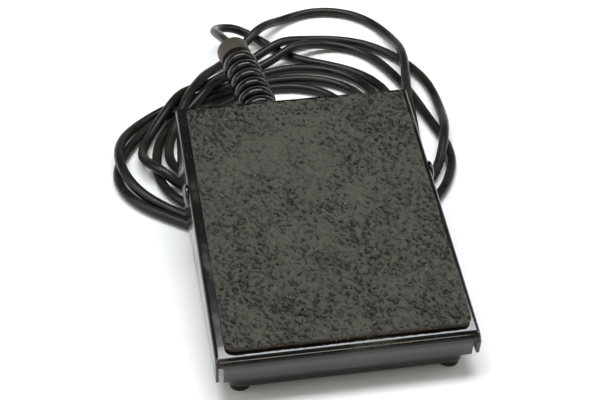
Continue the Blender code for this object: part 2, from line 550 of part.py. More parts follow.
def makeClamp():
    """A post and a bar that grip the cord's tail, with two screws."""
    low = baseFrame @ Vector((0, (rearWall - frontY - 0.0105 - baseSetback) / cos(baseTilt), sheet))
    y = rearWall - 0.0105
    grip = cordRadius + gap
    post = roundEdges(block((reliefX - 0.0075, y - 0.003, low.z + 0.0006),
                            (reliefX + 0.0075, y + 0.003, reliefHeight - 0.0006)),
                      lambda a, b: abs(a.z - b.z) > 1e-4, 0.0008, 2)
    post = addObject("clamp_post", post, phenolic())
    bar = roundEdges(block((reliefX - 0.0075, y - 0.0025, reliefHeight + 0.0006),
                           (reliefX + 0.0075, y + 0.0025, reliefHeight + 0.0042)),
                     lambda a, b: abs(a.z - b.z) > 1e-4, 0.0008, 2)
    bar = addObject("clamp_bar", bar, steel())
    for target in (post, bar):
        groove = turned([(0, -0.02), (grip, -0.02), (grip, 0.02), (0, 0.02)], 20)
        place = Matrix.Translation((reliefX, y, reliefHeight)) @ Matrix.Rotation(pi / 2, 4, "X")
        combine(target, addObject("groove_tool", groove, steel(), None, place), "DIFFERENCE")
    for name, side in (("left", -1), ("right", 1)):
        makeScrew("clamp_screw_" + name, Matrix.Translation(
            (reliefX + side * 0.0052, y, reliefHeight + 0.0042 + gap)), 0.0018)


def reliefPoint(along):
    """The middle of the strain relief at a distance behind the base's rear wall."""
    first, last = reliefLean
    drift = first * along + (last - first) * along * along / (2 * reliefLength)
    return Vector((reliefX - drift, rearWall + along, reliefHeight))


def reliefFrame(along):
    """Matrix whose Z axis runs out along the strain relief."""
    first, last = reliefLean
    lean = first + (last - first) * along / reliefLength
    return (Matrix.Translation(reliefPoint(along)) @ Matrix.Rotation(lean, 4, "Z")
            @ Matrix.Rotation(-pi / 2, 4, "X"))


def alongRelief(bm):
    """Bend a shape that was turned about Z so that it follows the strain relief."""
    for vert in bm.verts:
        vert.co = reliefFrame(vert.co.z) @ Vector((vert.co.x, vert.co.y, 0))
    return bm


def makeEntry():
    """The bush through the rear wall and the gland nut behind it."""
    bore = cordRadius + 0.0005
    inside = -sheet - gap
    profile = [(bore, inside - 0.0015), (0.0075, inside - 0.0015), (0.0075, inside), (0.0054, inside),
               (0.0054, gap + 0.0003), (0.0075, gap + 0.0003), (0.0075, 0.0106), (bore, 0.0106)]
    addObject("entry_bush", turned(profile, 18, True), phenolic(), None, reliefFrame(0))
    corners = [(0.0086 * cos(pi * i / 3), 0.0086 * sin(pi * i / 3)) for i in range(6)]
    nut = roundEdges(prism(corners, 0.0110, 0.0234, "Z"), lambda a, b: abs(a.z - b.z) > 1e-4, 0.0007, 2)
    addObject("gland_nut", alongRelief(nut), phenolic())


def makeStrainRelief():
    """The ribbed sleeve, tapering to its far end, and the smooth collar on the cord."""
    start, end = 0.0238, 0.0745
    def outer(z):
        return 0.0094 - 0.0009 * (z - start) / (end - start)
    profile = [(0, start), (outer(start) - 0.0034, start), (outer(start) - 0.0026, start + 0.0004)]
    for i in range(reliefRings):
        z = firstRing + i * ringPitch
        big = outer(z)
        small = big - 0.0029
        profile += [(small, z - 0.0031), (big - 0.0010, z - 0.0023), (big, z - 0.0009), (big, z + 0.0009),
                    (big - 0.0012, z + 0.0022), (small, z + 0.0030)]
    profile[2:3] = []
    profile += [(0.0058, end - 0.0010), (0.0058, end), (0, end)]
    addObject("strain_relief", alongRelief(turned(profile, 20)), rubber())
    low, high, wide = end + gap, reliefLength, 0.0079
    collar = turned([(0, low), (wide - 0.0005, low), (wide, low + 0.0005), (wide, high - 0.0007),
                     (wide - 0.0007, high), (0, high)], 20)
    addObject("cord_collar", alongRelief(collar), material("collar_rubber", (0.07, 0.06, 0.05), 0.6))


def smoothLine(points, step):
    """Even points along a natural cubic spline through the given points."""
    knots = np.array([tuple(p) for p in points], dtype=float)
    spans = np.linalg.norm(np.diff(knots, axis=0), axis=1)
    count = len(knots)
    matrix = np.eye(count)
    right = np.zeros_like(knots)
    for i in range(1, count - 1):
        before, after = spans[i - 1], spans[i]
        matrix[i, i - 1:i + 2] = before, 2 * (before + after), after
        right[i] = 6 * ((knots[i + 1] - knots[i]) / after - (knots[i] - knots[i - 1]) / before)
    bend = np.linalg.solve(matrix, right)
    fine = [knots[0]]
    for i, span in enumerate(spans):
        for part in range(1, 9):
            b = part / 8
            a = 1 - b
            fine.append(a * knots[i] + b * knots[i + 1]
                        + ((a ** 3 - a) * bend[i] + (b ** 3 - b) * bend[i + 1]) * span * span / 6)
    fine = np.array(fine)
    distance = np.concatenate(([0], np.cumsum(np.linalg.norm(np.diff(fine, axis=0), axis=1))))
    even = np.linspace(0, distance[-1], max(2, round(distance[-1] / step) + 1))
    return [tuple(p) for p in np.stack([np.interp(even, distance, fine[:, k]) for k in range(3)], axis=1)]


def addTube(name, points, radius, mat, resolution):
    """A round tube with closed ends through the given points."""
    curve = bpy.data.curves.new(name, "CURVE")
    curve.dimensions = "3D"
    curve.bevel_depth = radius
    curve.bevel_resolution = resolution
    curve.use_fill_caps = True
    spline = curve.splines.new("POLY")
    spline.points.add(len(points) - 1)
    for point, place in zip(spline.points, points):
        point.co = (*place, 1)
    curve.materials.append(mat)
    obj = bpy.data.objects.new(name, curve)
    bpy.context.scene.collection.objects.link(obj)
    return obj


def cordLine():
    """The whole cord's centre line, never lower than it can lie."""
    knots = [(x * 0.001, frontY + back * 0.001, cordRadius + 0.0001 + layer * cordLayer)
             for x, back, layer in cordRoute]
    return [(x, y, max(z, cordRadius + 0.0001)) for x, y, z in smoothLine(knots, cordRadius * 3.2)]


def makeCord():
    """The cord in several tubes that meet end to end."""
    line = cordLine()
    cuts = [round(i * (len(line) - 1) / cordTubes) for i in range(cordTubes + 1)]
    for i, (first, last) in enumerate(zip(cuts, cuts[1:])):
        points = [Vector(p) for p in line[first:last + 1]]
        if i:
            points[0] = points[0] + (points[1] - points[0]).normalized() * tubeGap
        addTube(f"cord_turn_{i + 1}", [tuple(p) for p in points], cordRadius, cordVinyl(), 2)


def makePlug():
    """The two-hole connector at the cord's far end, lying flat behind the pedal."""
    entry = Vector((0.0104, frontY + 0.160, cordRadius + 0.0001 + 0.9 * cordLayer))
    right, left = entry.x - 0.0004 - 0.0065, entry.x - 0.0400
    low = roundEdges(block((left, entry.y - 0.0085, 0.0004), (right, entry.y + 0.0085, entry.z + 0.0064)),
                     lambda a, b: True, 0.0022, 3)
    body = addObject("plug_body", low, rubber())
    neck = turned([(0, -0.002), (0.0042, -0.002), (0.0034, 0.0065), (0, 0.0065)], 20)
    combine(body, addObject("plug_neck_tool", neck, rubber(), None, crossways(right, entry.y, entry.z)), "UNION")
    for name, side in (("front", -1), ("rear", 1)):
        y = entry.y + side * 0.0042
        bore = turned([(0, -0.002), (0.0022, -0.002), (0.0022, 0.014), (0, 0.014)], 20)
        combine(body, addObject("socket_tool", bore, rubber(), None, crossways(left, y, entry.z)), "DIFFERENCE")
        contact = turned([(0.0012, 0.0010), (0.0019, 0.0010), (0.0019, 0.0137), (0.0012, 0.0137)], 16, True)
        addObject("plug_contact_" + name, contact, brass(), None, crossways(left, y, entry.z))


def main():
    for obj in list(bpy.data.objects):
        bpy.data.objects.remove(obj, do_unlink=True)
    treadle = bpy.data.objects.new("treadle_pivot", None)
    bpy.context.scene.collection.objects.link(treadle)
    treadle.matrix_world = treadleFrame
    makeFootPlate(treadle)
    makeMat(treadle)
    makePin(treadle)
    makeBase()
    makeFeet()
    makePinFittings()
    makeStopPads()
    makeLiner()
    makeSprings()
    makeRegulator()
    makeTerminals()
    makeWires()
    makeClamp()
    makeEntry()
    makeStrainRelief()
    makeCord()
    makePlug()


main()
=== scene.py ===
import json
from math import cos, sin, tan, pi, radians, sqrt, exp

import bmesh
import bpy
import numpy as np
from mathutils import Matrix, Vector, noise


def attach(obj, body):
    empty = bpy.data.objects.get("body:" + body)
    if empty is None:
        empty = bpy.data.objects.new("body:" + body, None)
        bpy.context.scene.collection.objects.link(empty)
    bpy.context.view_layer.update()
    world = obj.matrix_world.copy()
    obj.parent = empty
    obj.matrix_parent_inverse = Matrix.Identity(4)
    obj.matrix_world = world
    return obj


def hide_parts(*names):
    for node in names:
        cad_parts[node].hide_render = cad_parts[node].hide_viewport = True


# the foot control of a sewing machine, dressed for a soft studio light
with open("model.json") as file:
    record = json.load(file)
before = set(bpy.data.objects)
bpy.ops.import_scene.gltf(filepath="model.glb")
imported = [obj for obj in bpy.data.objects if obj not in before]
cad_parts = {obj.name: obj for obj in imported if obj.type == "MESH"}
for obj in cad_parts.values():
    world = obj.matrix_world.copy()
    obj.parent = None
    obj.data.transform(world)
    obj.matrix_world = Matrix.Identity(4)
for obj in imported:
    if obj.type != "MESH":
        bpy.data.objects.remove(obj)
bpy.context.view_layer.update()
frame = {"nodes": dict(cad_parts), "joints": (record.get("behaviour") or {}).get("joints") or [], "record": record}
nodes = frame["nodes"]
print("frame loaded")

# what the pieces share: the plate's slope, the pin it rocks on, and the pan below it
pedal = {
    "plateWidth": 0.105, "plateLength": 0.1406, "plateTilt": radians(10.6), "sheet": 0.0012,
    "pivotBack": 0.0937, "pivotDepth": 0.0052, "gap": 0.0003,
    "panHalf": 0.0470, "panLength": 0.1304, "panTilt": radians(2.8), "panSetback": 0.0040, "panLift": 0.0026,
}
frontY = -(pedal["plateLength"] * cos(pedal["plateTilt"]) + 0.0002) / 2
rocker = next(j for j in frame["joints"] if j["name"] == "treadle_rock")
pivot = Vector(rocker["pos_m"])
treadleFrame = Matrix.Translation(pivot) @ Matrix.Rotation(pedal["plateTilt"], 4, "X")
panFrame = (Matrix.Translation((0, frontY + pedal["panSetback"], pedal["panLift"]))
            @ Matrix.Rotation(pedal["panTilt"], 4, "X"))
rearWall = frontY + pedal["panSetback"] + pedal["panLength"] * cos(pedal["panTilt"])


# shader helpers

class Socket:
    # the output of a node; sums on it add the Math nodes that they need
    def __init__(self, tree, source=None):
        self.tree = tree
        self.source = source

    def node(self, kind, settings=None, sockets=None, output=0):
        made = self.tree.nodes.new(kind)
        for name, value in (settings or {}).items():
            if name == "stops":
                for index, (place, colour) in enumerate(value):
                    ramp = made.color_ramp.elements
                    stop = ramp[index] if index < len(ramp) else ramp.new(place)
                    stop.position = place
                    stop.color = (*colour, 1)
            else:
                setattr(made, name, value)
        for name, value in (sockets or {}).items():
            if isinstance(value, Socket):
                self.tree.links.new(value.source, made.inputs[name])
            else:
                made.inputs[name].default_value = value
        return Socket(self.tree, made.outputs[output])

    def maths(self, operation, *values):
        return self.node("ShaderNodeMath", {"operation": operation}, dict(enumerate(values)))

    def __add__(self, other):
        return self.maths("ADD", self, other)

    def __sub__(self, other):
        return self.maths("SUBTRACT", self, other)

    def __rsub__(self, other):
        return self.maths("SUBTRACT", other, self)

    def __mul__(self, other):
        return self.maths("MULTIPLY", self, other)

    __radd__ = __add__
    __rmul__ = __mul__

    # 0 below low, 1 above high, smooth between them
    def between(self, low, high):
        return self.node("ShaderNodeMapRange", {"interpolation_type": "SMOOTHSTEP"},
                         {"Value": self, "From Min": low, "From Max": high})

    # the same place, scaled unevenly and turned about Z
    def stretched(self, scale, turn=0.0):
        return self.node("ShaderNodeMapping", {}, {"Vector": self, "Rotation": (0, 0, turn), "Scale": scale})

    def clouds(self, size, detail=2.0, roughness=0.5, warp=0.0):
        return self.node("ShaderNodeTexNoise", {}, {"Vector": self, "Scale": 1 / size, "Detail": detail,
                                                    "Roughness": roughness, "Distortion": warp})

    def cells(self, size, feature="F1", randomness=1.0):
        return self.node("ShaderNodeTexVoronoi", {"feature": feature},
                         {"Vector": self, "Scale": 1 / size, "Randomness": randomness})

    def blend(self, first, second):
        def colour(value):
            return value if isinstance(value, Socket) else (*value, 1)
        return self.node("ShaderNodeMix", {"data_type": "RGBA"},
                         {0: self, 6: colour(first), 7: colour(second)}, 2)

    def bump(self, distance, strength=1.0, under=None):
        sockets = {"Height": self, "Distance": distance, "Strength": strength}
        if under:
            sockets["Normal"] = under
        return self.node("ShaderNodeBump", {}, sockets)


def newMaterial(name):
    made = bpy.data.materials.new(name)
    made.use_nodes = True
    return made, Socket(made.node_tree).node("ShaderNodeTexCoord", {}, {}, "Object")


def feed(material, **values):
    shader = material.node_tree.nodes["Principled BSDF"]
    for name, value in values.items():
        socket = shader.inputs[name.replace("_", " ")]
        if isinstance(value, Socket):
            material.node_tree.links.new(value.source, socket)
        else:
            socket.default_value = (*value, 1) if isinstance(value, tuple) else value
    return material


# stove enamel: deep black with a faint orange peel, dust, rubbed patches and hair scratches
paintLook = {
    "deep": (0.0050, 0.0042, 0.0036), "rubbed": (0.022, 0.018, 0.014), "dustColour": (0.20, 0.17, 0.13),
    "peelSize": 0.0016, "peelDepth": 0.000006, "speckSize": 0.0007, "gloss": 0.13, "rubbedGloss": 0.34,
}


def makeEnamel(look):
    made, here = newMaterial("blackEnamel")
    rub = here.clouds(0.022, 4, 0.62).between(0.50, 0.72)
    specks = here.cells(look["speckSize"]).between(0.24, 0.12) * here.clouds(0.006, 3).between(0.50, 0.66)
    hairs = here.stretched((1, 14, 1), 0.5).clouds(0.0022, 2).between(0.66, 0.74)
    hairs = hairs * here.clouds(0.018).between(0.46, 0.6)
    peel = here.clouds(look["peelSize"], 1, 0.4) + 0.35 * here.clouds(0.008, 1)
    colour = (specks * 0.5).blend(rub.blend(look["deep"], look["rubbed"]), look["dustColour"])
    roughness = look["gloss"] + rub * (look["rubbedGloss"] - look["gloss"]) + specks * 0.35 + hairs * 0.14
    return feed(made, Base_Color=colour, Roughness=roughness, Normal=peel.bump(look["peelDepth"]),
                Coat_Weight=0.25, Coat_Roughness=0.06, Specular_IOR_Level=0.55)


# the mat: olive-grey rubber, dull on its worn crowns, and painted shade makes it black in its creases
matLook = {
    "crown": (0.044, 0.042, 0.031), "worn": (0.058, 0.056, 0.043), "paintedCreaseShade": (0.0030, 0.0026, 0.0022),
    "fleck": (0.36, 0.31, 0.22), "grainSize": 0.00042, "grainDepth": 0.00006,
}


def makeMatRubber(look):
    made, here = newMaterial("pebbledRubber")
    dentAndShade = here.node("ShaderNodeAttribute", {"attribute_name": "dentAndShade"}, {}, "Fac")
    tone = here.clouds(0.0035, 4, 0.65).between(0.3, 0.72)
    base = tone.blend(look["crown"], look["worn"])
    flecks = here.cells(0.0022).between(0.13, 0.07) * here.clouds(0.004, 2).between(0.56, 0.64)
    # painted shade: the dent value darkens the rubber towards near-black in slits and hollows, and crowns stay
    # lighter
    colour = (flecks * 0.75).blend(dentAndShade.between(0.12, 0.92).blend(base, look["paintedCreaseShade"]), look["fleck"])
    grain = here.clouds(look["grainSize"], 3, 0.7)
    fine = here.stretched((1, 0.6, 1), 0.7).cells(0.0011, "DISTANCE_TO_EDGE").between(0.0, 0.16)
    roughness = 0.58 + 0.12 * tone + dentAndShade * 0.12
    return feed(made, Base_Color=colour, Roughness=roughness,
                Normal=fine.bump(0.00016, 0.7, grain.bump(look["grainDepth"], 0.8)), Specular_IOR_Level=0.34)


# the cut edge of the mat and the cement under it: brown, crumbly, with tan flecks
edgeLook = {"dark": (0.018, 0.010, 0.006), "warm": (0.060, 0.034, 0.018), "tan": (0.42, 0.27, 0.12)}


def makeEdge(name, look, tanShare):
    made, here = newMaterial(name)
    crumbs = here.clouds(0.0009, 4, 0.7)
    patches = here.clouds(0.0031, 2).between(tanShare, tanShare + 0.06)
    flecks = here.cells(0.0011).between(0.30, 0.18) * patches
    colour = flecks.blend(crumbs.between(0.35, 0.7).blend(look["dark"], look["warm"]), look["tan"])
    return feed(made, Base_Color=colour, Roughness=0.74 - 0.2 * flecks, Normal=crumbs.bump(0.00018, 0.9))


# vinyl and moulded rubber: satin black, faintly brown where it is handled
def makeSatin(name, look):
    made, here = newMaterial(name)
    haze = here.clouds(look["patch"], 4, 0.6).between(0.36, 0.7)
    dust = here.cells(0.0009).between(0.22, 0.10) * here.clouds(0.005, 2).between(0.5, 0.62)
    skin = here.clouds(look["grain"], 2, 0.55)
    colour = (dust * look["dust"]).blend(haze.blend(look["deep"], look["hazy"]), (0.24, 0.22, 0.18))
    return feed(made, Base_Color=colour, Roughness=look["satin"] + haze * look["spread"] + dust * 0.2,
                Normal=skin.bump(look["depth"]), Specular_IOR_Level=look["shine"])


satinLooks = {
    "cord_vinyl": {"deep": (0.0058, 0.0058, 0.0046), "hazy": (0.014, 0.0125, 0.0085), "patch": 0.012,
                   "grain": 0.0007, "depth": 0.00003, "satin": 0.27, "spread": 0.12, "dust": 0.4,
                   "shine": 0.26},
    "rubber": {"deep": (0.0052, 0.0046, 0.0040), "hazy": (0.012, 0.0095, 0.0070), "patch": 0.008,
               "grain": 0.0005, "depth": 0.00002, "satin": 0.15, "spread": 0.10, "dust": 0.4, "shine": 0.34},
    "collar_rubber": {"deep": (0.034, 0.026, 0.019), "hazy": (0.060, 0.047, 0.035), "patch": 0.006,
                      "grain": 0.0004, "depth": 0.00003, "satin": 0.46, "spread": 0.14, "dust": 0.4,
                      "shine": 0.4},
}

# the pieces inside: two colours in patches, a grain, and how rough and how metallic
innerLooks = {
    "zinc_steel": {"colours": ((0.50, 0.51, 0.52), (0.36, 0.35, 0.33)), "patch": 0.004, "grain": 0.0006,
                   "depth": 0.00001, "roughness": (0.26, 0.46), "metallic": 1.0, "stretch": (1, 7, 1)},
    "brass": {"colours": ((0.66, 0.44, 0.16), (0.42, 0.27, 0.11)), "patch": 0.003, "grain": 0.0005,
              "depth": 0.00001, "roughness": (0.24, 0.45), "metallic": 1.0, "stretch": (1, 5, 1)},
    "ceramic": {"colours": ((0.66, 0.63, 0.55), (0.52, 0.47, 0.38)), "patch": 0.005, "grain": 0.0003,
                "depth": 0.00006, "roughness": (0.62, 0.85), "metallic": 0.0, "stretch": (1, 1, 1)},
    "phenolic": {"colours": ((0.060, 0.026, 0.012), (0.11, 0.050, 0.022)), "patch": 0.0012, "grain": 0.0004,
                 "depth": 0.00002, "roughness": (0.28, 0.45), "metallic": 0.0, "stretch": (1, 2, 1)},
    "nylon": {"colours": ((0.66, 0.64, 0.56), (0.55, 0.52, 0.42)), "patch": 0.004, "grain": 0.0004,
              "depth": 0.00002, "roughness": (0.34, 0.5), "metallic": 0.0, "stretch": (1, 1, 1)},
    "carbon": {"colours": ((0.016, 0.016, 0.018), (0.045, 0.045, 0.048)), "patch": 0.0008, "grain": 0.0002,
               "depth": 0.00004, "roughness": (0.4, 0.6), "metallic": 0.0, "stretch": (1, 1, 1)},
    "press_board": {"colours": ((0.36, 0.24, 0.13), (0.26, 0.165, 0.085)), "patch": 0.003, "grain": 0.0003,
                    "depth": 0.00005, "roughness": (0.7, 0.9), "metallic": 0.0, "stretch": (1, 6, 1)},
    "wax_paper": {"colours": ((0.44, 0.29, 0.11), (0.30, 0.19, 0.075)), "patch": 0.003, "grain": 0.0005,
                  "depth": 0.00003, "roughness": (0.35, 0.6), "metallic": 0.0, "stretch": (5, 1, 1)},
    "wire_left": {"colours": ((0.42, 0.035, 0.028), (0.27, 0.024, 0.02)), "patch": 0.003, "grain": 0.0004,
                  "depth": 0.00001, "roughness": (0.3, 0.5), "metallic": 0.0, "stretch": (1, 1, 1)},
    "wire_right": {"colours": ((0.030, 0.075, 0.27), (0.022, 0.05, 0.17)), "patch": 0.003, "grain": 0.0004,
                   "depth": 0.00001, "roughness": (0.3, 0.5), "metallic": 0.0, "stretch": (1, 1, 1)},
}


def makeInner(name, look):
    made, here = newMaterial(name)
    patches = here.clouds(look["patch"], 4, 0.65).between(0.32, 0.68)
    grain = here.stretched(look["stretch"]).clouds(look["grain"], 2, 0.6)
    low, high = look["roughness"]
    roughness = low + (patches * 0.6 + grain * 0.4) * (high - low)
    return feed(made, Base_Color=(patches * 0.7 + grain * 0.3).blend(*look["colours"]), Roughness=roughness,
                Metallic=look["metallic"], Normal=grain.bump(look["depth"]))


finishes = {"black_paint": makeEnamel(paintLook), "mat_rubber": makeMatRubber(matLook),
            "adhesive": makeEdge("brownCement", edgeLook, 0.50)}
finishes.update({name: makeSatin(name + "Skin", look) for name, look in satinLooks.items()})
finishes.update({name: makeInner(name + "Finish", look) for name, look in innerLooks.items()})
slotOf = {row["node"]: row["material_slot"] for row in frame["record"]["subparts"]}
for name, node in nodes.items():
    node.data.materials.clear()
    node.data.materials.append(finishes[slotOf[name]])
print("finishes made:", len(finishes))


# mesh helpers

def addPiece(name, bm, slot, place=None, sharp=35.0):
    mesh = bpy.data.meshes.new(name)
    bmesh.ops.recalc_face_normals(bm, faces=bm.faces)
    if bm.calc_volume(signed=True) < 0:
        bmesh.ops.reverse_faces(bm, faces=bm.faces)
    if place is not None:
        bmesh.ops.transform(bm, matrix=place, verts=bm.verts)
    bm.to_mesh(mesh)
    bm.free()
    mesh.polygons.foreach_set("use_smooth", [True] * len(mesh.polygons))
    mesh.set_sharp_from_angle(angle=radians(sharp))
    piece = bpy.data.objects.new(name, mesh)
    bpy.context.scene.collection.objects.link(piece)
    mesh.materials.append(finishes[slot])
    return piece


def turned(profile, steps=48):
    # a profile of radius and height, turned about Z
    bm = bmesh.new()
    rings = []
    for radius, height in profile:
        if radius < 1e-7:
            rings.append([bm.verts.new((0, 0, height))])
        else:
            rings.append([bm.verts.new((radius * cos(2 * pi * i / steps), radius * sin(2 * pi * i / steps),
                                        height)) for i in range(steps)])
    for low, high in zip(rings, rings[1:]):
        for i in range(steps):
            j = (i + 1) % steps
            corners = [low[i % len(low)], low[j % len(low)], high[j % len(high)], high[i % len(high)]]
            corners = [v for n, v in enumerate(corners) if v not in corners[:n]]
            if len(corners) > 2:
                bm.faces.new(corners)
    return bm


def softened(profile, radius=0.00035, steps=4):
    # the profile with its corners rounded
    made = [profile[0]]
    for before, corner, after in zip(profile, profile[1:], profile[2:]):
        corner = Vector(corner)
        back, on = Vector(before) - corner, Vector(after) - corner
        reach = min(radius, back.length * 0.45, on.length * 0.45)
        first, last = corner + back.normalized() * reach, corner + on.normalized() * reach
        for i in range(steps + 1):
            t = i / steps
            made.append(tuple((1 - t) ** 2 * first + 2 * t * (1 - t) * corner + t * t * last))
    return made + [profile[-1]]


def smoothLine(points, step):
    # even points along a natural cubic spline
    knots = np.array([tuple(p) for p in points], dtype=float)
    spans = np.linalg.norm(np.diff(knots, axis=0), axis=1)
    count = len(knots)
    matrix = np.eye(count)
    right = np.zeros_like(knots)
    for i in range(1, count - 1):
        before, after = spans[i - 1], spans[i]
        matrix[i, i - 1:i + 2] = before, 2 * (before + after), after
        right[i] = 6 * ((knots[i + 1] - knots[i]) / after - (knots[i] - knots[i - 1]) / before)
    bend = np.linalg.solve(matrix, right)
    fine = [knots[0]]
    for i, span in enumerate(spans):
        for part in range(1, 13):
            b = part / 12
            a = 1 - b
            fine.append(a * knots[i] + b * knots[i + 1]
                        + ((a ** 3 - a) * bend[i] + (b ** 3 - b) * bend[i + 1]) * span * span / 6)
    fine = np.array(fine)
    distance = np.concatenate(([0], np.cumsum(np.linalg.norm(np.diff(fine, axis=0), axis=1))))
    even = np.linspace(0, distance[-1], max(2, round(distance[-1] / step) + 1))
    return [tuple(p) for p in np.stack([np.interp(even, distance, fine[:, k]) for k in range(3)], axis=1)]


# camera: low over the front end, turned a little to the right
cameraLook = {"place": (-0.0922, -0.4759, 0.4121), "down": 52.54, "turn": -10.0, "roll": 0.46, "lens": 88.56}


def makeCamera(look):
    camera = bpy.data.objects.new("camera", bpy.data.cameras.new("camera"))
    bpy.context.scene.collection.objects.link(camera)
    camera.data.lens = look["lens"]
    camera.data.sensor_width = 36
    camera.data.clip_start = 0.01
    camera.matrix_world = (Matrix.Translation(look["place"]) @ Matrix.Rotation(radians(look["turn"]), 4, "Z")
                           @ Matrix.Rotation(radians(look["down"]), 4, "X")
                           @ Matrix.Rotation(radians(look["roll"]), 4, "Z"))
    bpy.context.scene.camera = camera


makeCamera(cameraLook)

